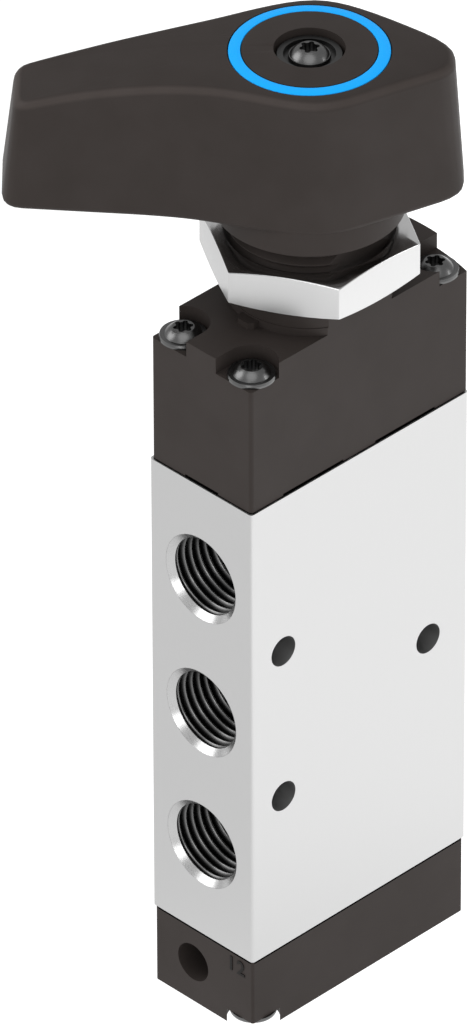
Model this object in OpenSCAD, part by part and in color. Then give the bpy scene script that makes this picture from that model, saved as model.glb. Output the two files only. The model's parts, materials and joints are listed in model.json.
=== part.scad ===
// Lever-operated 5/2 selector valve for panel mounting.
// A quarter turn of the lever turns a barrel with two helical slots. The slots lift a cross pin,
// and the pin carries the spool through a stack of seals and windowed spacers in the body.
// Z is the axis of the spool and lever. The origin is the centre of the end cap's bottom face.

/* [Body] */
// Width of the body, along X
body_w = 19.2; // [19:0.2:26]
// Depth of the body, along Y
body_d = 41; // [40:0.5:52]
// Height of the body between the two end pieces
body_h = 74; // [72:0.5:90]
// Radius of the body's long edges
body_edge_r = 0.5; // [0.2:0.1:1.2]

/* [Ports] */
// Diameter of the port threads over the crests
port_d = 13.157; // [9.7:0.1:13.2]
// Depth of the threaded ports
port_depth = 12; // [8:0.5:12]
// Spacing of the three ports on one face
port_pitch = 22; // [20:0.5:24]
// Height of the middle port above the body's lower end
port_mid_h = 37; // [36:0.5:40]
// Diameter of the passage from a port to the spool bore
passage_d = 8; // [4:0.5:9]

/* [Mounting holes] */
// Diameter of the three holes across the body
mount_d = 4.5; // [3.2:0.1:4.5]
// Distance of the hole pair in front of the spool axis
mount_front_y = 14.55; // [14:0.05:15]
// Spacing of the hole pair
mount_pitch = 24; // [22:0.5:24]
// Distance of the single hole behind the spool axis
mount_rear_y = 13; // [12.5:0.1:14]

/* [End cap] */
// Height of the end cap
cap_h = 12.7; // [11:0.1:18]
// Radius of the cap's long edges
cap_edge_r = 0.4; // [0.2:0.05:1.2]
// Step from the body's face in to the cap's and the housing's
end_step = 0.25; // [0:0.05:0.4]
// Height of the undercut where the cap and the housing meet the body
lip_h = 0.15; // [0.1:0.05:0.3]
// Depth of that undercut
lip_in = 0.3; // [0.1:0.05:0.5]
// Depth of the pockets for the screw heads under the cap
cap_pocket_h = 2.1; // [1.8:0.1:3]
// Diameter of the chamber below the spool
chamber_d = 11.2; // [10.6:0.1:12]
// Thickness of the cap's floor under the chamber
cap_floor = 3.5; // [2.5:0.1:5]
// Diameter of the pilot vent's mouth
vent_d = 5.8; // [4:0.1:6]
// Depth of the pilot vent's mouth
vent_depth = 6; // [4:0.5:8]
// Diameter of the passage from the mouth to the chamber
vent_bore_d = 2; // [1:0.1:3]
// Height of the pilot vent above the cap's bottom face
vent_z = 6.55; // [5.5:0.05:7]
// Offset of the pilot vent from the middle of the face
vent_x = -2.1; // [-3:0.1:0]

/* [Housing] */
// Height of the actuator housing up to its top face
housing_h = 21.9; // [21:0.05:28]
// Radius of the housing's long edges
housing_edge_r = 0.55; // [0.3:0.05:1.2]
// Depth of the pockets for the screw heads in the housing
housing_pocket_h = 2.4; // [1.8:0.1:3]
// Gap round the screw heads in their pockets
pocket_gap = 0.4; // [0.15:0.05:0.55]
// How far the housing's rear face bows out past the body's
rear_bow = 0.9; // [0:0.05:2]
// Radius of the bowed rear face
rear_bow_r = 38; // [30:1:60]
// Height of the slits under the housing's lower edge
slit_h = 0.45; // [0.3:0.05:0.6]
// Depth of the slits
slit_in = 0.9; // [0.7:0.05:1.1]

/* [Panel collar] */
// Diameter of the collar's thread
collar_d = 22; // [20:0.5:22]
// Pitch of the collar's thread
collar_pitch = 1.5; // [0.75:0.25:1.5]
// Height of the collar above the housing's top face
collar_h = 14.75; // [12:0.05:15.5]
// Height of the collar's plain foot, below its thread
plain_h = 3.7; // [2:0.1:4.4]
// Height of the band round the collar's foot
band_h = 1.2; // [0.6:0.05:2]
// How far the band stands out from the collar
band_step = 0.1; // [0.05:0.05:0.2]
// Width of the nub that stops the valve from turning in the panel
nub_w = 3; // [2:0.1:4]
// How far the nub stands out from the collar
nub_reach = 1.5; // [1:0.1:2]
// Height of the nub
nub_h = 0.95; // [0.5:0.05:1.2]
// Width of the panel nut across its flats
nut_af = 26.2; // [25:0.1:28]
// Thickness of the panel nut
nut_h = 5.9; // [4:0.1:6]
// Gap between the housing's top face and the nut, where the panel goes
panel_gap = 4.5; // [2:0.05:5]

/* [Handle] */
// Height of the handle's underside above the housing's top face
handle_rise = 17; // [16.5:0.05:20]
// Height of the handle on its axis
handle_h = 21.4; // [18:0.1:26]
// Radius of the domed top
dome_r = 126; // [100:1:200]
// Radius of the fillet round the top
handle_top_r = 1.2; // [0.6:0.1:2]
// Radius of the rounding round the underside
handle_low_r = 1; // [0.4:0.1:1.5]
// Radius of the plan corners at the long end
tail_corner_r = 2.6; // [1.5:0.1:3]
// Radius of the plan corners at the short end
nose_corner_r = 2.4; // [1.5:0.1:3]
// Outer diameter of the skirt under the handle
skirt_d = 25.6; // [24:0.1:26]
// How far the skirt reaches down over the collar's top
skirt_cover = 0.85; // [0.4:0.05:1.5]
// Gap between the collar and the hollow of the skirt
skirt_gap = 0.4; // [0.3:0.05:1]
// Outer diameter of the marking ring
ring_d = 21.5; // [18:0.1:22]
// Width of the marking ring
ring_w = 1.7; // [1:0.05:2.5]
// Depth of the marking ring's groove
ring_depth = 1.2; // [0.6:0.1:2]
// Gap each side of the marking ring in its groove
ring_gap = 0.08; // [0.03:0.01:0.15]
// Diameter of the round recess in the handle's top
recess_d = 9.5; // [9:0.1:11]
// Depth of the recess below the bush's rim
recess_depth = 2.5; // [1.5:0.1:3]
// Angle of the handle at rest, from +X
handle_angle = 45; // [0:1:90]

/* [Shaft and barrel] */
// Diameter of the shaft in the collar
shaft_d = 10; // [9:0.5:10]
// Width of the shaft's drive end across its flats
drive_af = 8; // [7:0.1:9]
// Length of the drive end in the handle
drive_h = 12; // [8:0.5:14]
// Height of the drive end's foot above the handle's underside
drive_rise = 1; // [0.5:0.1:2]
// Outer diameter of the barrel
barrel_d = 14; // [13.5:0.1:14.2]
// Wall of the barrel round its bore
barrel_wall = 1.9; // [1.5:0.1:1.9]
// Height of the barrel
barrel_h = 17.3; // [16.5:0.1:18]
// Thickness of the barrel's closed top
barrel_roof = 4.6; // [4:0.1:5]
// Height of the barrel's lower end above the gasket
barrel_rise = 1; // [0.8:0.1:1.5]
// Gap round the barrel in the housing
barrel_gap = 0.4; // [0.3:0.05:0.6]
// Quarter turn of the lever
turn = 90; // [60:5:90]
// Travel of the spool over that turn
travel = 5; // [4:0.1:5]
// Diameter of the follower pin
pin_d = 2.5; // [2:0.1:3]
// Height of the follower pin above the barrel's lower end
pin_rise = 3.3; // [3:0.1:3.6]
// How far the pin's ends reach into the housing's grooves
pin_reach = 1.9; // [1.5:0.1:2]
// Thickness of the thrust washer over the barrel
washer_h = 0.5; // [0.4:0.1:1]
// Width of the shaft seal and its groove
shaft_seal_w = 1.8; // [1.5:0.1:2]
// Height of the shaft seal's groove above the housing's top face
shaft_seal_rise = 3; // [1:0.5:8]

/* [Bush and screw of the handle] */
// Outer diameter of the bush
bush_d = 8.6; // [8:0.1:8.8]
// Height of the bush's rim above the screw's seat
bush_rim_h = 0.65; // [0.4:0.05:1]
// Height of the bush's foot flange
bush_foot_h = 2; // [1.5:0.1:3]
// Width of the bush's foot flange
bush_foot_w = 1.5; // [1:0.1:2]
// Diameter of the handle screw's head
handle_screw_d = 5.7; // [5.4:0.1:6]
// Length of the handle screw
handle_screw_l = 14; // [10:1:16]
// Gap round the handle screw's head in the bush
head_room = 0.65; // [0.3:0.05:0.8]

/* [Spool and seals] */
// Diameter of the spool's lands
spool_d = 9.5; // [9:0.1:9.6]
// Diameter of the spool's necks
neck_d = 6.4; // [5:0.1:7]
// Length of the two outer necks
neck_l = 6; // [5:0.1:6.5]
// Height of the spool's lower end above the body's, at rest
spool_rise = 2.3; // [2:0.1:3]
// Height of the spool's top above the follower pin
spool_over = 3; // [2.6:0.1:3.4]
// Step from the spool's upper land in to its head
head_step = 0.15; // [0.05:0.05:0.3]
// How far the spool's head starts below the body's upper end
head_drop = 0.7; // [0.5:0.1:1]
// Diameter of the spool bore in the body
bore_d = 14; // [13.6:0.1:14]
// Thickness of a spool seal
seal_h = 2.5; // [2:0.1:3]
// Radial depth of the bevels beside a seal's lip
lip_depth = 0.8; // [0.5:0.1:1]
// Radial gap between a spacer and the spool
cage_gap = 0.7; // [0.4:0.1:0.9]
// Thickness of the wall between a spacer's groove and its bore
cage_wall = 0.8; // [0.5:0.1:1]
// Height of a spacer's two rims
cage_rim = 1.6; // [1:0.1:2]
// Number of windows round a spacer
windows = 6; // [4:2:8]
// Diameter of a spacer's windows
window_d = 3.4; // [2.4:0.1:4]
// Thickness of the flat gaskets
gasket_h = 0.5; // [0.3:0.1:0.8]
// Depth of the flat gaskets, along Y
gasket_d = 24; // [22:0.5:26]
// Wall of the end pieces beside the flat gaskets
gasket_wall = 1.2; // [1:0.1:1.5]
// Radius of the flat gaskets' corners
gasket_r = 2; // [1:0.5:3]

/* [Screws] */
// Diameter of the screws' threads
screw_d = 3; // [2.5:0.5:3]
// Distance of the screws from the body's side faces
screw_edge_x = 3.2; // [3.1:0.1:3.6]
// Distance of the screws from the body's front and rear faces
screw_edge_y = 3.3; // [2.9:0.1:3.6]
// Length of the housing screws
housing_screw_l = 25; // [23:1:28]
// Length of the cap screws
cap_screw_l = 16; // [14:1:18]
// Diameter of the screws' flange
flange_d = 6.5; // [6:0.1:7]
// Height of the screws' flange
flange_h = 0.6; // [0.4:0.05:0.8]
// Bevel round the flange's upper edge
flange_bevel = 0.1; // [0.05:0.05:0.2]
// Diameter of the screws' dome where it meets the flange
dome_d = 5.15; // [5:0.05:5.7]
// Diameter of the flat on top of the dome
crown_d = 3; // [2.9:0.05:3.4]
// Height of the screws' heads
head_h = 1.65; // [1.4:0.05:2]
// Diameter of the six-lobe recess over its points
lobe_d = 2.75; // [2.3:0.05:2.8]
// Depth of the six-lobe recess
lobe_depth = 1.1; // [0.8:0.1:1.3]
// Length of a screw's hole beyond the screw's end
hole_extra = 1; // [0.5:0.1:1.2]

/* [Clearances] */
// Radial gap of a piece seated in its hole
seat_fit = 0.03; // [0.01:0.01:0.05]
// Radial running gap of the shaft and the spool
run_fit = 0.06; // [0.03:0.01:0.1]
// Gap each side of the follower pin in its slots
slot_fit = 0.15; // [0.1:0.01:0.2]
// Axial play of the barrel
axial_play = 0.1; // [0.05:0.05:0.2]
// Gap round the screws' shanks
screw_fit = 0.08; // [0.05:0.01:0.2]

/* [Hidden] */
$fn = 96;
e = 0.01;

// Levels along the spool axis
body_z = cap_h;
body_top = body_z + body_h;
housing_top = body_top + housing_h;
collar_top = housing_top + collar_h;
nut_z = housing_top + panel_gap;
handle_z = housing_top + handle_rise;
handle_top = handle_z + handle_h;
skirt_z = collar_top - skirt_cover;
port_z = body_z + port_mid_h;
housing_seat = housing_top - housing_pocket_h;

// The end pieces stand in from the body by one step on each side
end_w = body_w - 2 * end_step;
end_d = body_d - 2 * end_step;
gasket_w = end_w - 2 * gasket_wall;

// Four screws hold the housing, and two on a diagonal hold the cap
screw_x = body_w / 2 - screw_edge_x;
screw_y = body_d / 2 - screw_edge_y;
screw_hole_r = screw_d / 2 + screw_fit;
pocket_r = flange_d / 2 + pocket_gap;
housing_spots = [for (x = [-1, 1], y = [-1, 1]) [x * screw_x, y * screw_y]];
cap_spots = [for (i = [-1, 1]) [i * screw_x, -i * screw_y]];

// Seals lie halfway between neighbouring ports, and beyond the outer ones
level_pitch = port_pitch / 2;
seal_count = 6;
seal_z = [for (i = [0:seal_count - 1]) port_z + (i - (seal_count - 1) / 2) * level_pitch];
spacer_h = level_pitch - seal_h;

// The barrel hangs under the housing's roof, and the pin lies across its bore
cavity_r = barrel_d / 2 + barrel_gap;
barrel_z = body_top + gasket_h + barrel_rise;
barrel_top = barrel_z + barrel_h;
cavity_top = barrel_top + washer_h + axial_play;
barrel_bore_r = barrel_d / 2 - barrel_wall;
pin_z = barrel_z + pin_rise;
pin_l = 2 * (cavity_r + pin_reach);
slot_r = pin_d / 2 + slot_fit;
slot_steps = 18;
seal_groove_z = housing_top + shaft_seal_rise;

// The drive end of the shaft stands in the handle and carries the bush
drive_z = handle_z + drive_rise;
drive_top = drive_z + drive_h;
screw_seat_z = handle_top - head_h;
bush_top = screw_seat_z + bush_rim_h;

// Ends of the spool and the middle of its necks, at rest in the lower position
spool_low = body_z + spool_rise;
spool_top = pin_z + spool_over;
spool_mid = port_z - travel / 2;

// Half widths of the handle along its length: [place, half width, slope]
top_half = [[-36.9, 5.3, 0.08], [-28.7, 6, 0.13], [-20.9, 7.1, 0.17], [-13, 8.85, 0.28],
    [-7, 11, 0.37], [0.7, 12.95, 0], [7, 10.85, -0.57], [15.2, 5.75, -0.62]];
low_half = [[-37.8, 6.75, 0.1], [-28.7, 7.65, 0.1], [-20.9, 8.45, 0.13], [-15, 9.45, 0.24],
    [-8.5, 11.3, 0.31], [0.7, 13, 0], [7, 11.2, -0.57], [17.6, 5.25, -0.57]];
top_ends = [-38.95, 19.15];
low_ends = [-40.5, 20.35];
span_steps = 4;
corner_steps = 4;

// Bar with rounded long edges
module block(w, d, h, r) {
    linear_extrude(h) {
        square([w - 2 * r, d], center = true);
        square([w, d - 2 * r], center = true);
        for (x = [-1, 1], y = [-1, 1])
            translate([x * (w / 2 - r), y * (d / 2 - r)]) circle(r, $fn = 32);
    }
}

module tube(outer_r, inner_r, h) {
    difference() {
        cylinder(h = h, r = outer_r);
        translate([0, 0, -e]) cylinder(h = h + 2 * e, r = inner_r);
    }
}

// A hole that starts on the front (side -1) or rear (side 1) face and runs in
module face_hole(side, half_d, x, z, r, depth) {
    translate([x, side * (half_d + e), z]) rotate([side * 90, 0, 0])
        cylinder(h = depth + e, r = r);
}

module valve_body() color("gainsboro") difference() {
    translate([0, 0, body_z]) block(body_w, body_d, body_h, body_edge_r);
    translate([0, 0, body_z - e]) cylinder(h = body_h + 2 * e, d = bore_d);
    for (i = [-1:1]) port(-1, port_z + i * port_pitch);
    for (i = [-0.5, 0.5]) port(1, port_z + i * port_pitch);
    for (i = [-0.5, 0.5]) mount_hole(-mount_front_y, port_z + i * mount_pitch);
    mount_hole(mount_rear_y, port_z);
    for (s = housing_spots) translate([s.x, s.y, housing_seat - housing_screw_l - hole_extra])
        cylinder(h = housing_screw_l, r = screw_hole_r);
    for (s = cap_spots) translate([s.x, s.y, cap_pocket_h])
        cylinder(h = cap_screw_l + hole_extra, r = screw_hole_r);
}

module port(side, z) {
    face_hole(side, body_d / 2, 0, z, port_d / 2, port_depth);
    face_hole(side, body_d / 2, 0, z, passage_d / 2, body_d / 2);
}

module mount_hole(y, z) {
    translate([-body_w / 2 - e, y, z]) rotate([0, 90, 0]) cylinder(h = body_w + 2 * e, d = mount_d);
}

// Pocket for a screw's head, open to the corner of its end piece. "inner" is how far the open
// part starts on the near side of the screw.
module head_pocket(s, h, inner) {
    reach = pocket_r + 1;
    translate([s.x, s.y]) cylinder(h = h, r = pocket_r);
    translate([s.x, s.y]) mirror([s.x < 0 ? 1 : 0, 0, 0]) mirror([0, s.y < 0 ? 1 : 0, 0])
        translate([-inner, 0]) cube([inner + reach, reach, h]);
}

// Undercut round an end piece, where it meets the body
module lip(z, edge_r) {
    difference() {
        translate([0, 0, z]) block(2 * body_w, 2 * body_d, lip_h, edge_r);
        translate([0, 0, z - e]) block(end_w - 2 * lip_in, end_d - 2 * lip_in, lip_h + 2 * e, edge_r);
    }
}

module housing_shell() {
    intersection() {
        translate([0, rear_bow, body_top])
            block(end_w, end_d + 2 * rear_bow, housing_h, housing_edge_r);
        union() {
            translate([-end_w, -end_d / 2, body_top]) cube([2 * end_w, end_d / 2, housing_h]);
            translate([0, body_d / 2 + rear_bow - rear_bow_r, body_top])
                cylinder(h = housing_h, r = rear_bow_r, $fn = 192);
        }
    }
}

// The collar's thread is drawn as one groove for each pitch, above the plain foot
module threaded_collar() {
    r = collar_d / 2;
    depth = 0.54 * collar_pitch;
    bevel = 0.4;
    first = housing_top + plain_h;
    turns = floor((collar_top - bevel - first) / collar_pitch);
    groove = [for (i = [0:turns - 1], k = [0:2])
        [r - (k == 1 ? depth : 0), first + (i + k * 0.45 + 0.05) * collar_pitch]];
    rotate_extrude() polygon(concat([[0, body_top + housing_h / 2], [r, body_top + housing_h / 2]],
        groove, [[r, collar_top - bevel], [r - bevel, collar_top], [0, collar_top]]));
}

module actuator_housing() color([0.25, 0.235, 0.225]) difference() {
    union() {
        housing_shell();
        intersection() {
            union() {
                threaded_collar();
                translate([0, 0, housing_top - 1]) cylinder(h = band_h + 1, d = collar_d + 2 * band_step);
            }
            translate([-end_w / 2, -end_d / 2, housing_top - 1]) cube([end_w, end_d, collar_h + 2]);
        }
        nub();
    }
    for (s = housing_spots) {
        translate([0, 0, housing_seat]) head_pocket(s, housing_pocket_h + e, pocket_r);
        translate([s.x, s.y, body_top - e]) cylinder(h = housing_h, r = screw_hole_r);
    }
    translate([0, 0, body_top - e]) cylinder(h = cavity_top - body_top + e, r = cavity_r);
    translate([0, 0, cavity_top - e])
        cylinder(h = collar_top - cavity_top + 2 * e, d = shaft_d + 2 * run_fit);
    guide_grooves();
    translate([0, 0, body_top - e]) block(gasket_w, gasket_d, gasket_h + e, gasket_r);
    lip(body_top - e, housing_edge_r);
    foot_slits();
}

// Two upright grooves take the ends of the follower pin
module guide_grooves() {
    room = 0.2;
    half = pin_l / 2 + slot_fit + room;
    top = pin_z + travel + slot_r + 2 * room;
    translate([-slot_r, -half, body_top - e]) cube([2 * slot_r, 2 * half, top - body_top + e]);
}

// Shallow slits under the housing's lower edge
module foot_slits() {
    front_w = 6.2;
    near = 3;
    far = 14.3;
    translate([-front_w / 2, -end_d / 2 - e, body_top - e]) cube([front_w, slit_in, slit_h]);
    for (x = [-1, 1], y = [-1, 1])
        translate([x * end_w / 2 - slit_in, y * (near + far) / 2 - (far - near) / 2, body_top - e])
            cube([2 * slit_in, far - near, slit_h]);
}

module nub() {
    tip = collar_d / 2 + nub_reach;
    root = collar_d / 2 - 2;
    cut = 0.6;
    half = nub_w / 2;
    translate([0, 0, housing_top - 1]) linear_extrude(nub_h + 1)
        polygon([[-half, -root], [-half, cut - tip], [cut - half, -tip],
            [half - cut, -tip], [half, cut - tip], [half, -root]]);
}

module end_cap() color([0.25, 0.235, 0.225]) difference() {
    block(end_w, end_d, cap_h, cap_edge_r);
    translate([0, 0, cap_floor]) cylinder(h = cap_h, d = chamber_d);
    face_hole(-1, end_d / 2, vent_x, vent_z, vent_d / 2, vent_depth);
    face_hole(-1, end_d / 2, vent_x, vent_z, vent_bore_d / 2, end_d / 2);
    for (s = cap_spots) translate([0, 0, -e]) {
        head_pocket(s, cap_pocket_h + e, 0);
        translate([s.x, s.y]) cylinder(h = cap_h + 2 * e, r = screw_hole_r);
    }
    translate([0, 0, cap_h - gasket_h]) block(gasket_w, gasket_d, gasket_h + e, gasket_r);
    lip(cap_h - lip_h + e, cap_edge_r);
}

// Both gaskets lie in a recess of their end piece
module gasket(z) {
    difference() {
        translate([0, 0, z])
            block(gasket_w - 2 * seat_fit, gasket_d - 2 * seat_fit, gasket_h, gasket_r);
        translate([0, 0, z - e]) cylinder(h = gasket_h + 2 * e, r = barrel_bore_r);
    }
}

module housing_gasket() color([0.12, 0.12, 0.12]) gasket(body_top);

module cap_gasket() color([0.12, 0.12, 0.12]) gasket(cap_h - gasket_h);

module panel_nut() color("silver") translate([0, 0, nut_z]) difference() {
    corner_r = nut_af / 2 / cos(30);
    chamfer_r = nut_af / 2 - 0.1;
    drop = (corner_r - chamfer_r) * tan(15);
    intersection() {
        rotate(30) cylinder(h = nut_h, r = corner_r, $fn = 6);
        rotate_extrude() polygon([[0, 0], [chamfer_r, 0], [corner_r, drop],
            [corner_r, nut_h - drop], [chamfer_r, nut_h], [0, nut_h]]);
    }
    hole_r = collar_d / 2 + seat_fit;
    lead = 0.5;
    rotate_extrude() polygon([[0, -e], [hole_r + lead, -e], [hole_r, lead], [hole_r, nut_h - lead],
        [hole_r + lead, nut_h + e], [0, nut_h + e]]);
}

// Six-lobe drive recess, cut down from z = 0
module six_lobe() {
    r = lobe_d / 2;
    point_r = 0.26 * r;
    translate([0, 0, -lobe_depth]) {
        cylinder(h = lobe_depth + e, r = 0.75 * r, $fn = 48);
        for (a = [0:60:300]) rotate(a) translate([r - point_r, 0])
            cylinder(h = lobe_depth + e, r = point_r, $fn = 24);
    }
}

// Dome-head screw with its seat at z = 0 and its shank pointing down. The dome is part of a
// sphere, from its rim on the flange up to the flat crown.
module dome_screw(length, flange_r, rim_r) {
    crown_r = crown_d / 2;
    steps = 6;
    centre = (crown_r ^ 2 + head_h ^ 2 - rim_r ^ 2 - flange_h ^ 2) / (2 * (head_h - flange_h));
    sphere_r = norm([crown_r, head_h - centre]);
    low = asin((flange_h - centre) / sphere_r);
    high = asin((head_h - centre) / sphere_r);
    dome = [for (i = [0:steps]) let (a = low + (high - low) * i / steps)
        [sphere_r * cos(a), centre + sphere_r * sin(a)]];
    difference() {
        union() {
            rotate_extrude() polygon(concat([[0, 0], [flange_r, 0], [flange_r, flange_h / 2],
                [flange_r - flange_bevel, flange_h]], dome, [[0, head_h]]));
            translate([0, 0, -length]) cylinder(h = length + e, d = screw_d, $fn = 48);
        }
        translate([0, 0, head_h]) six_lobe();
    }
}

module housing_screws() color([0.3, 0.3, 0.3]) for (s = housing_spots)
    translate([s.x, s.y, housing_seat]) dome_screw(housing_screw_l, flange_d / 2, dome_d / 2);

module cap_screws() color([0.3, 0.3, 0.3]) for (s = cap_spots)
    translate([s.x, s.y, cap_pocket_h]) mirror([0, 0, 1])
        dome_screw(cap_screw_l, flange_d / 2, dome_d / 2);

// Cubic between two stations of a half outline
function hermite(a, b, t) = let (h = b[0] - a[0])
    (2 * t ^ 3 - 3 * t ^ 2 + 1) * a[1] + (t ^ 3 - 2 * t ^ 2 + t) * h * a[2]
    + (3 * t ^ 2 - 2 * t ^ 3) * b[1] + (t ^ 3 - t ^ 2) * h * b[2];

// Corner from a side's last station round to the flat end, tangent to both
function corner(station, end, r) = let (side = station[1] + station[2] * (end - station[0]))
    [for (i = [0:corner_steps]) let (t = i / corner_steps)
        [(1 - t) ^ 2 * station[0] + (1 - (1 - t) ^ 2) * end,
            (1 - t) ^ 2 * station[1] + 2 * t * (1 - t) * side + t ^ 2 * (side - r)]];

// One side of the outline from the left end's middle to the right end's
function half_outline(half, ends) = let (last = len(half) - 1)
    concat(
        [[ends[0], 0]],
        [for (i = [corner_steps:-1:1]) corner(half[0], ends[0], tail_corner_r)[i]],
        [for (k = [0:last - 1], i = [0:span_steps - 1]) let (t = i / span_steps)
            [half[k][0] + t * (half[k + 1][0] - half[k][0]), hermite(half[k], half[k + 1], t)]],
        corner(half[last], ends[1], nose_corner_r));

// The full outline, clockwise seen from above
function outline(half, ends) = let (h = half_outline(half, ends), n = len(h))
    concat(h, [[ends[1], 0]], [for (i = [n - 1:-1:1]) [h[i].x, -h[i].y]]);

// Direction into the handle at each point of an outline
function inward(points, i) = let (n = len(points), d = points[(i + 1) % n] - points[(i + n - 1) % n])
    [d.y, -d.x] / norm(d);

function dome_z(p) = handle_top - (p.x ^ 2 + p.y ^ 2) / (2 * dome_r);

// Rings of points from the underside up over the fillet and dome
function handle_rings() = let (
        top = outline(top_half, top_ends), low = outline(low_half, low_ends), n = len(top),
        inset = [for (i = [0:n - 1]) top[i] + handle_top_r * inward(top, i)])
    concat(
        [for (a = [0:30:90]) [for (i = [0:n - 1])
            let (p = low[i] + handle_low_r * (1 - sin(a)) * inward(low, i))
            [p.x, p.y, handle_z + handle_low_r * (1 - cos(a))]]],
        [for (a = [0:18:90]) [for (i = [0:n - 1])
            let (p = top[i] + handle_top_r * (1 - cos(a)) * inward(top, i))
            [p.x, p.y, dome_z(p) - handle_top_r * (1 - sin(a))]]],
        [for (k = [0.75, 0.5, 0.25]) [for (i = [0:n - 1]) let (p = k * inset[i]) [p.x, p.y, dome_z(p)]]]);

// Skin that joins the rings, closed below and above by fans round the two tips
module skin(rings, low_tip, top_tip) {
    n = len(rings[0]);
    m = len(rings);
    polyhedron(
        points = concat([for (ring = rings, p = ring) p], [low_tip, top_tip]),
        faces = concat(
            [for (i = [0:n - 1]) [(i + 1) % n, i, m * n]],
            [for (k = [0:m - 2], i = [0:n - 1]) let (a = k * n + i, b = k * n + (i + 1) % n)
                each [[a, b, b + n], [a, b + n, a + n]]],
            [for (i = [0:n - 1]) [(m - 1) * n + i, (m - 1) * n + (i + 1) % n, m * n + 1]]));
}

// Drive end of the shaft: a round bar with two flats
module drive(r, af, h) {
    intersection() {
        cylinder(h = h, r = r);
        translate([-af / 2, -r - 1, 0]) cube([af, 2 * r + 2, h]);
    }
}

module bush_solid(grow) {
    translate([0, 0, drive_top]) {
        cylinder(h = bush_top - drive_top, d = bush_d + 2 * grow);
        cylinder(h = bush_foot_h + grow, d = bush_d + 2 * (bush_foot_w + grow));
    }
}

// The skirt is hollow and takes the top of the collar
module selector_handle() color([0.25, 0.235, 0.225]) rotate(handle_angle) difference() {
    union() {
        skin(handle_rings(), [0, 0, handle_z], [0, 0, handle_top]);
        translate([0, 0, skirt_z]) cylinder(h = handle_z + handle_low_r - skirt_z, d = skirt_d);
    }
    translate([0, 0, skirt_z - e])
        cylinder(h = skirt_cover + skirt_gap + e, r = collar_d / 2 + skirt_gap);
    ring_cut(ring_d / 2 + ring_gap, ring_d / 2 - ring_w - ring_gap, handle_top + 1);
    translate([0, 0, bush_top - recess_depth]) cylinder(h = handle_h, d = recess_d);
    translate([0, 0, collar_top]) cylinder(h = drive_z - collar_top + e, d = shaft_d + 2 * seat_fit);
    translate([0, 0, drive_z])
        drive(shaft_d / 2 + seat_fit, drive_af + 2 * seat_fit, drive_h + e);
    bush_solid(seat_fit);
}

module ring_cut(outer_r, inner_r, top) {
    floor_z = handle_top - ring_depth;
    translate([0, 0, floor_z]) tube(outer_r, inner_r, top - floor_z);
}

// The ring's top follows the dome
module marking_ring() color([0.15, 0.68, 1]) {
    outer = ring_d / 2;
    inner = outer - ring_w;
    rotate_extrude() polygon([[inner, handle_top - ring_depth], [outer, handle_top - ring_depth],
        [outer, dome_z([outer, 0])], [inner, dome_z([inner, 0])]]);
}

module handle_bush() color("gray") difference() {
    bush_solid(0);
    translate([0, 0, drive_top - e]) cylinder(h = handle_h, r = screw_hole_r);
    translate([0, 0, screw_seat_z]) cylinder(h = handle_h, d = handle_screw_d + 2 * head_room);
}

module handle_screw() color([0.3, 0.3, 0.3]) translate([0, 0, screw_seat_z])
    dome_screw(handle_screw_l, handle_screw_d / 2, handle_screw_d / 2 - 2 * flange_bevel);

module selector_shaft() color("darkgray") rotate(handle_angle) difference() {
    union() {
        translate([0, 0, barrel_z]) cylinder(h = barrel_h, d = barrel_d);
        translate([0, 0, barrel_top - e]) cylinder(h = drive_z - barrel_top + e, d = shaft_d);
        translate([0, 0, drive_z - e]) drive(shaft_d / 2, drive_af, drive_h + e);
    }
    translate([0, 0, barrel_z - e]) cylinder(h = barrel_h - barrel_roof, r = barrel_bore_r);
    rotate(-handle_angle) helical_slots();
    translate([0, 0, seal_groove_z]) tube(shaft_d / 2 + 1, shaft_d / 2 - shaft_seal_w, shaft_seal_w);
    translate([0, 0, screw_seat_z - handle_screw_l - hole_extra])
        cylinder(h = handle_screw_l, r = screw_hole_r);
}

// Each slot climbs by the spool's travel over the turn, the way a drill would leave it
module helical_slots() {
    for (i = [0:slot_steps]) rotate(-turn * i / slot_steps)
        translate([0, -barrel_d, pin_z + travel * i / slot_steps]) rotate([-90, 0, 0])
            cylinder(h = 2 * barrel_d, r = slot_r, $fn = 48);
}

module shaft_seal() color([0.1, 0.1, 0.1])
    translate([0, 0, seal_groove_z + shaft_seal_w / 2]) rotate_extrude()
        translate([shaft_d / 2 - shaft_seal_w / 2, 0]) circle(d = shaft_seal_w - 2 * seat_fit, $fn = 32);

module thrust_washer() color("wheat") translate([0, 0, cavity_top - washer_h]) {
    room = 0.2;
    tube(barrel_d / 2 - room, shaft_d / 2 + run_fit + room, washer_h);
}

// Lands and necks of the spool
module spool() color("lightgray") difference() {
    land = spool_d / 2;
    neck = neck_d / 2;
    head = land - head_step;
    bevel = 0.4;
    necks = [for (k = [-1:1]) let (half = k == 0 ? level_pitch / 2 : neck_l / 2,
            mid = spool_mid + k * (level_pitch * 1.5 + neck_l / 2)) [mid - half, mid + half]];
    head_z = body_top - head_drop;
    rotate_extrude() polygon(concat(
        [[0, spool_low], [land - bevel, spool_low], [land, spool_low + bevel]],
        [for (n = necks) each [[land, n[0] - bevel], [land - bevel, n[0]], [neck, n[0]],
            [neck, n[1]], [land - bevel, n[1]], [land, n[1] + bevel]]],
        [[land, head_z], [head, head_z + head_step], [head, spool_top - bevel],
            [head - bevel, spool_top], [0, spool_top]]));
    translate([0, barrel_d, pin_z]) rotate([90, 0, 0])
        cylinder(h = 2 * barrel_d, d = pin_d + 2 * seat_fit, $fn = 48);
}

module follower_pin() color("silver")
    translate([0, pin_l / 2, pin_z]) rotate([90, 0, 0]) cylinder(h = pin_l, d = pin_d, $fn = 48);

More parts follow.
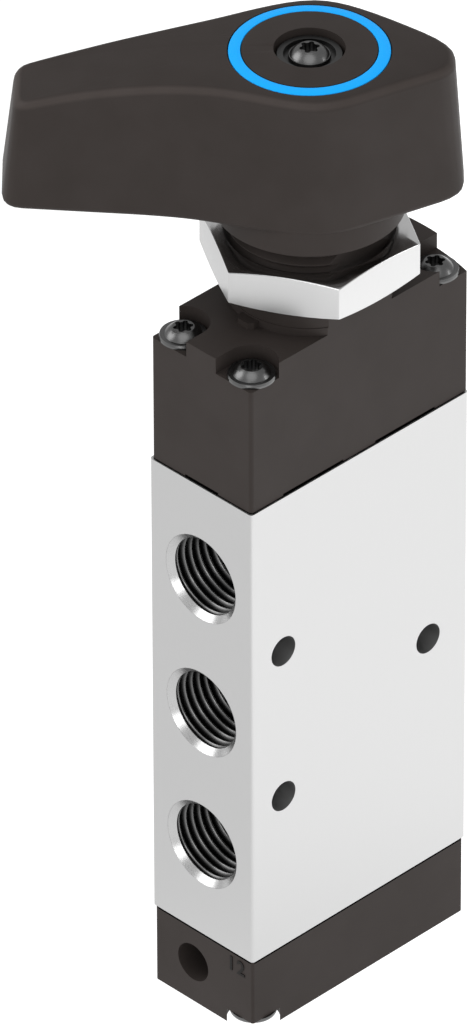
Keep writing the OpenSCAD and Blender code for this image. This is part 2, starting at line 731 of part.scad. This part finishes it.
// Spool seals, numbered upwards
module spool_seal(i) color([0.1, 0.1, 0.1]) {
    inner = spool_d / 2 + run_fit + 0.02;
    outer = bore_d / 2 - seat_fit;
    lip = 0.3 * seal_h;
    root = inner + lip_depth;
    translate([0, 0, seal_z[i - 1]]) rotate_extrude() polygon([[inner, -lip / 2], [inner, lip / 2],
        [root, seal_h / 2], [outer, seal_h / 2], [outer, -seal_h / 2], [root, -seal_h / 2]]);
}

// Spacers between the seals, with an outer groove and radial windows
module spacer(i) color("ivory") difference() {
    outer = bore_d / 2 - seat_fit;
    inner = spool_d / 2 + cage_gap;
    low = seal_z[i - 1] + seal_h / 2;
    translate([0, 0, low]) difference() {
        tube(outer, inner, spacer_h);
        translate([0, 0, cage_rim]) tube(outer + 1, inner + cage_wall, spacer_h - 2 * cage_rim);
    }
    for (k = [0:windows / 2 - 1]) translate([0, 0, low + spacer_h / 2]) rotate(k * 360 / windows)
        rotate([90, 0, 0]) cylinder(h = 2 * bore_d, d = window_d, center = true, $fn = 48);
}

module guide(z, h) color("ivory") translate([0, 0, z])
    tube(bore_d / 2 - seat_fit, spool_d / 2 + run_fit, h);

module lower_guide() guide(body_z, seal_z[0] - seal_h / 2 - body_z);

module upper_guide() {
    low = seal_z[seal_count - 1] + seal_h / 2;
    guide(low, body_top - low);
}

valve_body();
actuator_housing();
end_cap();
panel_nut();
housing_gasket();
cap_gasket();
housing_screws();
cap_screws();
selector_handle();
marking_ring();
handle_bush();
handle_screw();
selector_shaft();
shaft_seal();
thrust_washer();
spool();
follower_pin();
lower_guide();
upper_guide();
spool_seal(1);  // spool_seal_1
spool_seal(2);  // spool_seal_2
spool_seal(3);  // spool_seal_3
spool_seal(4);  // spool_seal_4
spool_seal(5);  // spool_seal_5
spool_seal(6);  // spool_seal_6
spacer(1);  // spacer_1
spacer(2);  // spacer_2
spacer(3);  // spacer_3
spacer(4);  // spacer_4
spacer(5);  // spacer_5
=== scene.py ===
"""The finish of a lever-operated selector valve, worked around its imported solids. Lengths are in metres."""
import json
import math
import bmesh
import bpy
from mathutils import Matrix, Vector


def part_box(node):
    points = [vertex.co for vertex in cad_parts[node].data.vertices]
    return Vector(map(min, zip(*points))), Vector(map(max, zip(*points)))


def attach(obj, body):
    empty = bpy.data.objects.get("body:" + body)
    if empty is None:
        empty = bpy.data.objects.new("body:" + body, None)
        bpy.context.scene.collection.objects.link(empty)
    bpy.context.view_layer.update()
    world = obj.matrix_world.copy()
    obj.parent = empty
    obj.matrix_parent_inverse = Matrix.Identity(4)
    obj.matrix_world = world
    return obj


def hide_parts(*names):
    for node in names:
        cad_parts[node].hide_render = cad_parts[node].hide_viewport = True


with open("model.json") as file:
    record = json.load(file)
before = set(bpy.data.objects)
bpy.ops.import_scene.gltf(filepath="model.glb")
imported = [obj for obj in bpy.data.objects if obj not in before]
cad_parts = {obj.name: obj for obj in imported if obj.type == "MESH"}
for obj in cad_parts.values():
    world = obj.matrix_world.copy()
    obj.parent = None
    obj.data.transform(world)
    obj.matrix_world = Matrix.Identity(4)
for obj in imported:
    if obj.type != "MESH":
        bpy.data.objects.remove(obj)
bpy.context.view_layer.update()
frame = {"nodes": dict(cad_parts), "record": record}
MM = 0.001


# Valve body: a bar of extruded aluminium, sawn to length, milled flat and anodised in its natural
# colour. The finish is a fine satin that keeps a trace of the drawing direction, which is upright.
noise_low = 0.3
noise_high = 0.7


def grey(level):
    return (level, level, level)


def new_finish(name, colour, metallic, roughness, shine=0.5):
    finish = bpy.data.materials.new(name)
    finish.use_nodes = True
    shader = finish.node_tree.nodes["Principled BSDF"]
    shader.inputs["Base Color"].default_value = (*colour, 1)
    shader.inputs["Metallic"].default_value = metallic
    shader.inputs["Roughness"].default_value = roughness
    shader.inputs["Specular IOR Level"].default_value = shine
    return finish


def noise_on_object(finish, grain, stretch=(1, 1, 1), detail=3):
    """Noise whose cells are about one grain wide, longer along the axes that stretch names."""
    tree = finish.node_tree
    place = tree.nodes.new("ShaderNodeTexCoord")
    turn = tree.nodes.new("ShaderNodeMapping")
    noise = tree.nodes.new("ShaderNodeTexNoise")
    turn.inputs["Scale"].default_value = [1 / s for s in stretch]
    noise.inputs["Scale"].default_value = 1 / grain
    noise.inputs["Detail"].default_value = detail
    tree.links.new(place.outputs["Object"], turn.inputs["Vector"])
    tree.links.new(turn.outputs["Vector"], noise.inputs["Vector"])
    return noise.outputs["Fac"]


def vary_roughness(finish, noise, low, high):
    tree = finish.node_tree
    spread = tree.nodes.new("ShaderNodeMapRange")
    spread.inputs["From Min"].default_value = noise_low
    spread.inputs["From Max"].default_value = noise_high
    spread.inputs["To Min"].default_value = low
    spread.inputs["To Max"].default_value = high
    tree.links.new(noise, spread.inputs["Value"])
    tree.links.new(spread.outputs["Result"], tree.nodes["Principled BSDF"].inputs["Roughness"])


def colour_ramp(tree, stops):
    """A ramp through the stops, which are pairs of position and colour."""
    ramp = tree.nodes.new("ShaderNodeValToRGB")
    for position, colour in stops[1:-1]:
        ramp.color_ramp.elements.new(position)
    for stop, (position, colour) in zip(ramp.color_ramp.elements, stops):
        stop.position = position
        stop.color = (*colour, 1)
    return ramp


def vary_colour(finish, noise, dark, light):
    tree = finish.node_tree
    ramp = colour_ramp(tree, [(noise_low, dark), (noise_high, light)])
    tree.links.new(noise, ramp.inputs["Fac"])
    tree.links.new(ramp.outputs["Color"], tree.nodes["Principled BSDF"].inputs["Base Color"])


def emboss(finish, noise, height):
    tree = finish.node_tree
    bump = tree.nodes.new("ShaderNodeBump")
    bump.inputs["Strength"].default_value = 1
    bump.inputs["Distance"].default_value = height
    tree.links.new(noise, bump.inputs["Height"])
    tree.links.new(bump.outputs["Normal"], tree.nodes["Principled BSDF"].inputs["Normal"])


def dress(finish, *names):
    for name in names:
        frame["nodes"][name].data.materials.clear()
        frame["nodes"][name].data.materials.append(finish)


satin_aluminium = new_finish("satin_aluminium", grey(0.515), metallic=1, roughness=0.4)
drawn_grain = noise_on_object(satin_aluminium, grain=0.25 * MM, stretch=(1, 1, 12))
vary_roughness(satin_aluminium, drawn_grain, low=0.36, high=0.46)
vary_colour(satin_aluminium, drawn_grain, dark=grey(0.505), light=grey(0.525))
emboss(satin_aluminium, drawn_grain, height=0.0006 * MM)
dress(satin_aluminium, "valve_body")


# Port threads: G1/4 threads tapped in the body. Each is the ridge that the tap leaves in the bore, behind
# the cone of a countersink. Their colour is painted shade: lightest on the cone, darker on the crests, near
# black in the roots.
thread_pitch = 1.337 * MM
crest_r = 5.7225 * MM
crest_w = 0.22 * MM
crest_round = 0.08 * MM
flank_angle = 27.5
flank_slope = math.tan(math.radians(flank_angle))
cone_depth = 0.86 * MM
cone_back = 0.2 * MM
buried = 0.02 * MM
# How far the thread's root sleeve stands inside the bore; its colour is painted shade, near black.
shaded_root_inset = 0.01 * MM
ridge_steps = 48
bore_steps = 96
thread_crease = 40
crest_rise = 0.6
# Colours by the stored rise: painted shade, near black at the root, grey on the crest, lightest on the cone.
painted_shade_stops = [(0.36, grey(0.04)), (0.58, grey(0.18)), (1, grey(0.45))]
cut_metal = new_finish("cut_metal", grey(0.4), metallic=1, roughness=0.3)
vary_roughness(cut_metal, noise_on_object(cut_metal, grain=0.15 * MM), low=0.24, high=0.36)
# The rise attribute drives the ramp, which paints the groove's shade into the base colour.
tree = cut_metal.node_tree
rise_read = tree.nodes.new("ShaderNodeAttribute")
rise_read.attribute_name = "rise"
painted_shade_ramp = colour_ramp(tree, painted_shade_stops)
tree.links.new(rise_read.outputs["Fac"], painted_shade_ramp.inputs["Fac"])
tree.links.new(painted_shade_ramp.outputs["Color"], tree.nodes["Principled BSDF"].inputs["Base Color"])


def closed_profile(bm, points):
    """A closed loop of edges in the XZ plane, given as radius and height."""
    corners = [bm.verts.new((r, 0, z)) for r, z in points]
    edges = [bm.edges.new((corners[i - 1], corners[i])) for i in range(len(corners))]
    return corners + edges


def smooth_below(bm, degrees):
    """Smooth shading, with the edges that turn by more than the angle kept sharp."""
    for face in bm.faces:
        face.smooth = True
    for edge in bm.edges:
        edge.smooth = edge.is_manifold and edge.calc_face_angle() < math.radians(degrees)


def piece_from(bm, name, finish, body):
    mesh = bpy.data.meshes.new(name)
    bm.to_mesh(mesh)
    bm.free()
    mesh.materials.append(finish)
    piece = bpy.data.objects.new(name, mesh)
    bpy.context.scene.collection.objects.link(piece)
    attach(piece, body)
    return piece


def ring(bm, points, steps):
    """Spins a closed profile once round Z."""
    bmesh.ops.spin(bm, geom=closed_profile(bm, points), cent=(0, 0, 0), axis=(0, 0, 1), dvec=(0, 0, 0),
                   angle=2 * math.pi, steps=steps, use_merge=True)


def thread_ridge(bm, bore_r, start, depth):
    """Spins the ridge's profile down round Z, from the start's depth to the bottom of the tapped depth."""
    foot_w = crest_w / 2 + (bore_r - crest_r) * flank_slope
    bevel_w = crest_w / 2 + crest_round * flank_slope
    profile = [(bore_r + buried, foot_w), (crest_r + crest_round, bevel_w), (crest_r, crest_w / 4)]
    profile += [(r, -z) for r, z in reversed(profile)]
    turns = int((depth - start - foot_w) / thread_pitch * ridge_steps) / ridge_steps
    bmesh.ops.spin(bm, geom=closed_profile(bm, [(r, z - start) for r, z in profile]), cent=(0, 0, 0),
                   axis=(0, 0, 1), dvec=(0, 0, -thread_pitch / ridge_steps), angle=turns * 2 * math.pi,
                   steps=round(turns * ridge_steps))
    bmesh.ops.holes_fill(bm, edges=[edge for edge in bm.edges if edge.is_boundary])


def mark_rise(bm, bore_r):
    """Stores how much painted light each vertex gets: 0 at the root, painted darkest as shade, crest_rise at
    the crest and 1 on the cone.
    """
    rise = bm.verts.layers.float.new("rise")
    for vert in bm.verts:
        on_cone = vert.co.z > -cone_depth - buried
        vert[rise] = 1 if on_cone else crest_rise * (bore_r - vert.co.xy.length) / (bore_r - crest_r)


ports = [mount for mount in frame["record"]["mounts"] if mount["kind"] == "threaded_hole"]
for port in ports:
    bore_r = port["dims"]["r_mm"] * MM
    tapped = port["dims"]["length_mm"] * MM
    land = cone_depth + cone_back
    bm = bmesh.new()
    # The sleeve just inside the bore is the thread's root, and its colour takes the darkest painted shade.
    ring(bm, [(bore_r, 0), (crest_r, -cone_depth), (crest_r, -land), (bore_r - shaded_root_inset, -land),
              (bore_r - shaded_root_inset, -tapped), (bore_r + buried, -tapped), (bore_r + buried, 0)], bore_steps)
    thread_ridge(bm, bore_r, land, tapped)
    mark_rise(bm, bore_r)
    outward = Vector(port["axis"]).to_track_quat("Z", "X").to_matrix().to_4x4()
    bmesh.ops.transform(bm, matrix=Matrix.Translation(port["pos_m"]) @ outward, verts=bm.verts)
    bmesh.ops.recalc_face_normals(bm, faces=bm.faces)
    smooth_below(bm, thread_crease)
    piece_from(bm, "thread_of_" + port["name"], cut_metal, "valve")


# Spacers, guides and washer: moulded acetal. Spacers and guides are stacked in the body's bore, and the
# washer lies over the shaft's barrel. The lipped seals between the spacers, the flat gaskets and the ring
# on the shaft are nitrile rubber.
white_acetal = new_finish("white_acetal", (0.75, 0.74, 0.7), metallic=0, roughness=0.45)
vary_roughness(white_acetal, noise_on_object(white_acetal, grain=0.5 * MM), low=0.4, high=0.5)
dress(white_acetal, "thrust_washer", "lower_guide", "upper_guide", *[f"spacer_{i}" for i in range(1, 6)])
nitrile = new_finish("nitrile", grey(0.006), metallic=0, roughness=0.6, shine=0.1)
vary_roughness(nitrile, noise_on_object(nitrile, grain=0.3 * MM), low=0.55, high=0.7)
dress(nitrile, "housing_gasket", "cap_gasket", "shaft_seal", *[f"spool_seal_{i}" for i in range(1, 7)])


# Gasket rims: where the two flat gaskets are squeezed between the body and its end pieces, they come
# out as a fine line along each joint. The line is rubber, and its dead black with no shine is painted shade
# for the joint's gap.
rim_h_low = 0.52 * MM
rim_h_high = 0.14 * MM
rim_w = 0.6 * MM
rim_proud = 0.04 * MM
rim_corner_r = 0.6 * MM
rim_corner_steps = 6
rim_crease = 40
# Near black with no shine: the gasket's edge, painted as the shadow in the joint's gap.
gasket_edge_and_shadow = new_finish("gasket_edge_and_shadow", grey(0.002), metallic=0, roughness=0.9, shine=0)
rubber_mottle = noise_on_object(gasket_edge_and_shadow, grain=0.3 * MM)
vary_colour(gasket_edge_and_shadow, rubber_mottle, dark=grey(0.001), light=grey(0.003))


def gasket_rim(name, z_low, rim_h):
    low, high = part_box("end_cap")
    bm = bmesh.new()
    bmesh.ops.create_grid(bm, x_segments=1, y_segments=1, size=1)
    for vert in bm.verts:
        vert.co.x *= (high[0] - low[0]) / 2 + rim_proud
        vert.co.y *= (high[1] - low[1]) / 2 + rim_proud
        vert.co.z = z_low
    bmesh.ops.bevel(bm, geom=bm.verts[:], offset=rim_corner_r, affect="VERTICES",
                    segments=rim_corner_steps, profile=0.5, material=-1)
    rim = bmesh.ops.inset_region(bm, faces=bm.faces[:], thickness=rim_w, use_boundary=True,
                                 use_even_offset=True)["faces"]
    bmesh.ops.delete(bm, geom=[face for face in bm.faces if face not in rim], context="FACES_ONLY")
    top = bmesh.ops.extrude_face_region(bm, geom=bm.faces[:])["geom"]
    top_verts = [part for part in top if isinstance(part, bmesh.types.BMVert)]
    bmesh.ops.translate(bm, vec=(0, 0, rim_h), verts=top_verts)
    bmesh.ops.recalc_face_normals(bm, faces=bm.faces)
    smooth_below(bm, rim_crease)
    piece_from(bm, name, gasket_edge_and_shadow, "valve")


body_low, body_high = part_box("valve_body")
gasket_rim("gasket_rim_low", body_low[2] - rim_h_low, rim_h_low)
gasket_rim("gasket_rim_high", body_high[2], rim_h_high)


# Spool: an aluminium rod, turned to lands and necks, nickel plated and ground. Its finish has fine rings
# round it from the grinding, so the noise is squeezed along the spool.
plated_spool = new_finish("plated_spool", (0.6, 0.58, 0.53), metallic=1, roughness=0.2)
ground_rings = noise_on_object(plated_spool, grain=0.2 * MM, stretch=(6, 6, 1))
vary_roughness(plated_spool, ground_rings, low=0.16, high=0.26)
emboss(plated_spool, ground_rings, height=0.0004 * MM)
dress(plated_spool, "spool")


# Shaft, follower pin and bush: free-cutting steel, turned, and ground where a seal runs on them. The
# bush is moulded into the lever round the screw's head, and is coloured much darker than the shaft.
turned_steel = new_finish("turned_steel", grey(0.5), metallic=1, roughness=0.3)
vary_roughness(turned_steel, noise_on_object(turned_steel, grain=0.2 * MM), low=0.25, high=0.35)
dress(turned_steel, "selector_shaft", "follower_pin")
dark_steel = new_finish("dark_steel", grey(0.07), metallic=1, roughness=0.4)
vary_roughness(dark_steel, noise_on_object(dark_steel, grain=0.2 * MM), low=0.35, high=0.45)
dress(dark_steel, "handle_bush")


# Housing and end cap: glass-filled nylon, moulded in one warm dark grey with a fine spark-eroded
# grain. They hold the body between them, and the collar on the housing goes through the panel.
nylon_dark = (0.03, 0.0245, 0.0222)
nylon_light = (0.034, 0.028, 0.0258)
moulded_nylon = new_finish("moulded_nylon", nylon_light, metallic=0, roughness=0.5, shine=0.1)
spark_grain = noise_on_object(moulded_nylon, grain=0.12 * MM, detail=2)
vary_roughness(moulded_nylon, spark_grain, low=0.46, high=0.56)
vary_colour(moulded_nylon, noise_on_object(moulded_nylon, grain=6 * MM), nylon_dark, nylon_light)
emboss(moulded_nylon, spark_grain, height=0.002 * MM)
dress(moulded_nylon, "actuator_housing", "end_cap")


# Port mark on the end cap: the number 12, which the pneumatics standard gives to the pilot that joins
# ports 1 and 2. It is moulded with the cap and stands up a little from its narrow side; its colour is darker
# than the cap's, as painted shade for its relief.
digit_h = 2.3 * MM
digit_share = 0.72
digit_rise = 0.1 * MM
digit_spacing = 1.15
stroke_extra = 0.05 * MM
mark_centre = Vector((6.2, -20.25, 10.25)) * MM
letters = bpy.data.curves.new("port_mark", "FONT")
letters.body = "12"
letters.size = digit_h / digit_share
letters.align_x = "CENTER"
letters.align_y = "CENTER"
letters.extrude = digit_rise
letters.offset = stroke_extra
letters.space_character = digit_spacing
writing = bpy.data.objects.new("writing", letters)
bpy.context.scene.collection.objects.link(writing)
bpy.context.view_layer.update()
mark_mesh = bpy.data.meshes.new_from_object(writing.evaluated_get(bpy.context.evaluated_depsgraph_get()))
bpy.data.objects.remove(writing)
bm = bmesh.new()
bm.from_mesh(mark_mesh)
place = Matrix.Translation(mark_centre) @ Matrix.Rotation(math.radians(90), 4, "X")
bmesh.ops.transform(bm, matrix=place, verts=bm.verts)
# The digits are coloured darker than the cap's nylon: painted shade for the edges of their relief.
painted_shade_nylon = new_finish("painted_shade_nylon", (0.009, 0.008, 0.0075), metallic=0, roughness=0.4, shine=0.1)
vary_roughness(painted_shade_nylon, noise_on_object(painted_shade_nylon, grain=0.12 * MM), low=0.35, high=0.45)
piece_from(bm, "port_mark_12", painted_shade_nylon, "valve")


# Screws: four hold the housing, two the end cap and one the lever. They are cold-headed steel,
# blackened with a thin oiled oxide that leaves a dull sheen on the domes.
black_oxide = new_finish("black_oxide", grey(0.12), metallic=1, roughness=0.28)
vary_roughness(black_oxide, noise_on_object(black_oxide, grain=0.15 * MM), low=0.27, high=0.32)
dress(black_oxide, "housing_screws", "cap_screws", "handle_screw")


# Panel nut: cut from brass bar and nickel plated, with its flats left satin from the drawn bar and its
# turned ends bright. The solid's mesh is merged, and tumbling has rounded the outer edges a little.
merge_reach = 0.002 * MM
flat_turn = 1
corner_turn = 20
nut_crease = 35
nut_inner_r = 12 * MM
nut_edge_w = 0.14 * MM
end_slope = 0.2


def merged_copy(node):
    bm = bmesh.new()
    bm.from_mesh(frame["nodes"][node].data)
    bmesh.ops.remove_doubles(bm, verts=bm.verts, dist=merge_reach)
    return bm


def round_edges(bm, edges, width, segments):
    bmesh.ops.bevel(bm, geom=edges, offset=width, offset_type="OFFSET", affect="EDGES", segments=segments,
                    profile=0.5, material=-1, clamp_overlap=True)


satin_nickel = new_finish("satin_nickel", grey(0.57), metallic=1, roughness=0.4)
drawn_lines = noise_on_object(satin_nickel, grain=0.3 * MM, stretch=(1, 1, 6))
vary_roughness(satin_nickel, drawn_lines, low=0.38, high=0.42)
bright_nickel = new_finish("bright_nickel", grey(0.57), metallic=1, roughness=0.15)
turned_lines = noise_on_object(bright_nickel, grain=0.3 * MM, stretch=(4, 4, 1))
vary_roughness(bright_nickel, turned_lines, low=0.14, high=0.18)
emboss(bright_nickel, turned_lines, height=0.0001 * MM)
bm = merged_copy("panel_nut")
bmesh.ops.dissolve_limit(bm, angle_limit=math.radians(flat_turn), verts=bm.verts, edges=bm.edges)
outer = [edge for edge in bm.edges if edge.calc_face_angle() > math.radians(corner_turn)
         and all(vert.co.xy.length > nut_inner_r for vert in edge.verts)]
round_edges(bm, outer, nut_edge_w, segments=3)
smooth_below(bm, nut_crease)
for face in bm.faces:
    face.material_index = 0 if abs(face.normal.z) < end_slope else 1
nut = piece_from(bm, "nut", satin_nickel, "valve")
nut.data.materials.append(bright_nickel)
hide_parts("panel_nut")


# Lever: moulded in the housing's nylon, with a painted highlight that makes its rounded upper edge a
# little lighter. The skin is shaded smoothly from facet to facet, and only the edges of its recesses are
# sharp.
lever_crease = 32
highlight_gain = 1.45
# Painted highlight: where the normal points part way up, on the rounded edge, the colour is made lighter.
highlight_stops = [(0.2, grey(1)), (0.5, grey(highlight_gain)), (0.8, grey(highlight_gain)), (0.97, grey(1))]
nylon_painted_highlight = moulded_nylon.copy()
nylon_painted_highlight.name = "nylon_painted_highlight"
tree = nylon_painted_highlight.node_tree
facing = tree.nodes.new("ShaderNodeNewGeometry")
upward = tree.nodes.new("ShaderNodeSeparateXYZ")
highlight_ramp = colour_ramp(tree, highlight_stops)
lighter = tree.nodes.new("ShaderNodeMix")
lighter.data_type = "RGBA"
lighter.blend_type = "MULTIPLY"
lighter.inputs["Factor"].default_value = 1
base = tree.nodes["Principled BSDF"].inputs["Base Color"]
mottle = base.links[0].from_socket
# The normal's upward part picks the painted highlight, which multiplies the nylon's colour.
tree.links.new(facing.outputs["Normal"], upward.inputs[0])
tree.links.new(upward.outputs["Z"], highlight_ramp.inputs["Fac"])
tree.links.new(mottle, lighter.inputs["A"])
tree.links.new(highlight_ramp.outputs["Color"], lighter.inputs["B"])
tree.links.new(lighter.outputs["Result"], base)
bm = merged_copy("selector_handle")
smooth_below(bm, lever_crease)
lever = piece_from(bm, "lever", nylon_painted_highlight, "handle")
even = lever.modifiers.new("even", "WEIGHTED_NORMAL")
even.keep_sharp = True
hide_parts("selector_handle")


# Marking ring: a hoop of moulded sky-blue plastic, held in the lever's groove. It is a little narrower
# than the groove and its edges are softened, so a fine dark line shows on each side of it.
ring_gap_out = 0.07 * MM
ring_gap_in = 0.04 * MM
hoop_edge_w = 0.1 * MM
hoop_corner_turn = 45
hoop_crease = 35
sky_blue = new_finish("sky_blue", (0.003, 0.37, 0.92), metallic=0, roughness=0.4, shine=0.15)
vary_roughness(sky_blue, noise_on_object(sky_blue, grain=0.2 * MM), low=0.36, high=0.44)
bm = merged_copy("marking_ring")
radii = [vert.co.xy.length for vert in bm.verts]
for vert, r in zip(bm.verts, radii):
    outside = r > (min(radii) + max(radii)) / 2
    vert.co.xy *= 1 - ring_gap_out / r if outside else 1 + ring_gap_in / r
corners = [edge for edge in bm.edges if edge.calc_face_angle() > math.radians(hoop_corner_turn)]
round_edges(bm, corners, hoop_edge_w, segments=3)
smooth_below(bm, hoop_crease)
hoop = piece_from(bm, "hoop", sky_blue, "handle")
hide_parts("marking_ring")


# Floor: a sheet of white acrylic, lit softly from below and more strongly on the right, so that the
# two sides of the body mirror it in different greys. From below, the sheet can be seen through.
floor_side = 6
glow_reach = 0.05
glow_left = 0.94
glow_right = 1.48
rightwards = (math.sqrt(0.5), math.sqrt(0.5), 0)
bpy.ops.mesh.primitive_plane_add(size=floor_side)
floor = bpy.context.object
floor.name = "floor"
acrylic = new_finish("acrylic", grey(0.1), metallic=0, roughness=0.9)
tree = acrylic.node_tree
place = tree.nodes.new("ShaderNodeTexCoord")
along = tree.nodes.new("ShaderNodeVectorMath")
along.operation = "DOT_PRODUCT"
along.inputs[1].default_value = rightwards
glow = tree.nodes.new("ShaderNodeMapRange")
glow.inputs["From Min"].default_value = -glow_reach
glow.inputs["From Max"].default_value = glow_reach
glow.inputs["To Min"].default_value = glow_left
glow.inputs["To Max"].default_value = glow_right
tree.nodes["Principled BSDF"].inputs["Emission Color"].default_value = (1, 1, 1, 1)
tree.links.new(place.outputs["Object"], along.inputs[0])
tree.links.new(along.outputs["Value"], glow.inputs["Value"])
tree.links.new(glow.outputs["Result"], tree.nodes["Principled BSDF"].inputs["Emission Strength"])
side = tree.nodes.new("ShaderNodeNewGeometry")
clear = tree.nodes.new("ShaderNodeBsdfTransparent")
either = tree.nodes.new("ShaderNodeMixShader")
tree.links.new(side.outputs["Backfacing"], either.inputs["Fac"])
tree.links.new(tree.nodes["Principled BSDF"].outputs["BSDF"], either.inputs[1])
tree.links.new(clear.outputs["BSDF"], either.inputs[2])
tree.links.new(either.outputs["Shader"], tree.nodes["Material Output"].inputs["Surface"])
floor.data.materials.append(acrylic)


# Light: a white tent all round, soft boxes at the left of the camera and at the far left and right, and
# a large one in front and above. They stand 1.5 m away, at bearings from +X and heights in degrees.
lamp_reach = 1.5
lamp_aim = Vector((0, 0, 0.09))
tent_strength = 0.68


def soft_box(name, bearing, height, width, watts):
    lamp = bpy.data.lights.new(name, "AREA")
    lamp.shape = "DISK"
    lamp.size = width
    lamp.energy = watts
    box = bpy.data.objects.new(name, lamp)
    swing = Matrix.Rotation(math.radians(bearing), 3, "Z") @ Matrix.Rotation(-math.radians(height), 3, "Y")
    outward = swing @ Vector((1, 0, 0))
    box.location = outward * lamp_reach + lamp_aim
    box.rotation_euler = outward.to_track_quat("Z", "Y").to_euler()
    box.visible_camera = False
    bpy.context.scene.collection.objects.link(box)


soft_box("key", bearing=-60, height=15, width=0.6, watts=3.5)
soft_box("far_left", bearing=-142, height=33, width=1.1, watts=9)
soft_box("far_right", bearing=45, height=20, width=0.4, watts=2)
soft_box("front", bearing=-45, height=62, width=1.4, watts=6)
sky = bpy.data.worlds.new("tent")
sky.use_nodes = True
sky.node_tree.nodes["Background"].inputs["Color"].default_value = (1, 1, 1, 1)
sky.node_tree.nodes["Background"].inputs["Strength"].default_value = tent_strength
bpy.context.scene.world = sky
bpy.context.scene.view_settings.view_transform = "Standard"


# Camera: a long lens, almost 2 m away, that looks down on the valve's front corner, with the valve's
# axis right of the middle. Its angles were solved from the photograph's straight edges and round ports.
picture = Vector((470, 1024))
focal_px = 14786.7
aim_point = Vector((0, 0, 70.28)) * MM
aim_px = Vector((309.54, 524.59))
azimuth = math.radians(44.948)
elevation = math.radians(35.405)
distance = 1980.5 * MM
sensor = 36
view_limit = 20


def look(back, sideways):
    """Rotation of a camera whose back points along the first vector."""
    right = (sideways - sideways.project(back)).normalized()
    return Matrix((right, back.cross(right), back)).transposed().to_4x4()


back = Vector((math.sin(azimuth) * math.cos(elevation), -math.cos(azimuth) * math.cos(elevation),
               math.sin(elevation)))
right = Vector((math.cos(azimuth), math.sin(azimuth), 0))
up = back.cross(right)
off_centre = aim_px - picture / 2
view_back = (back * focal_px + right * off_centre.x - up * off_centre.y).normalized()
lens = bpy.data.cameras.new("camera")
lens.sensor_width = sensor
lens.lens = focal_px * sensor / picture.y
lens.clip_end = view_limit
camera = bpy.data.objects.new("camera", lens)
camera.matrix_world = Matrix.Translation(aim_point + back * distance) @ look(view_back, right)
bpy.context.scene.collection.objects.link(camera)
bpy.context.scene.camera = camera
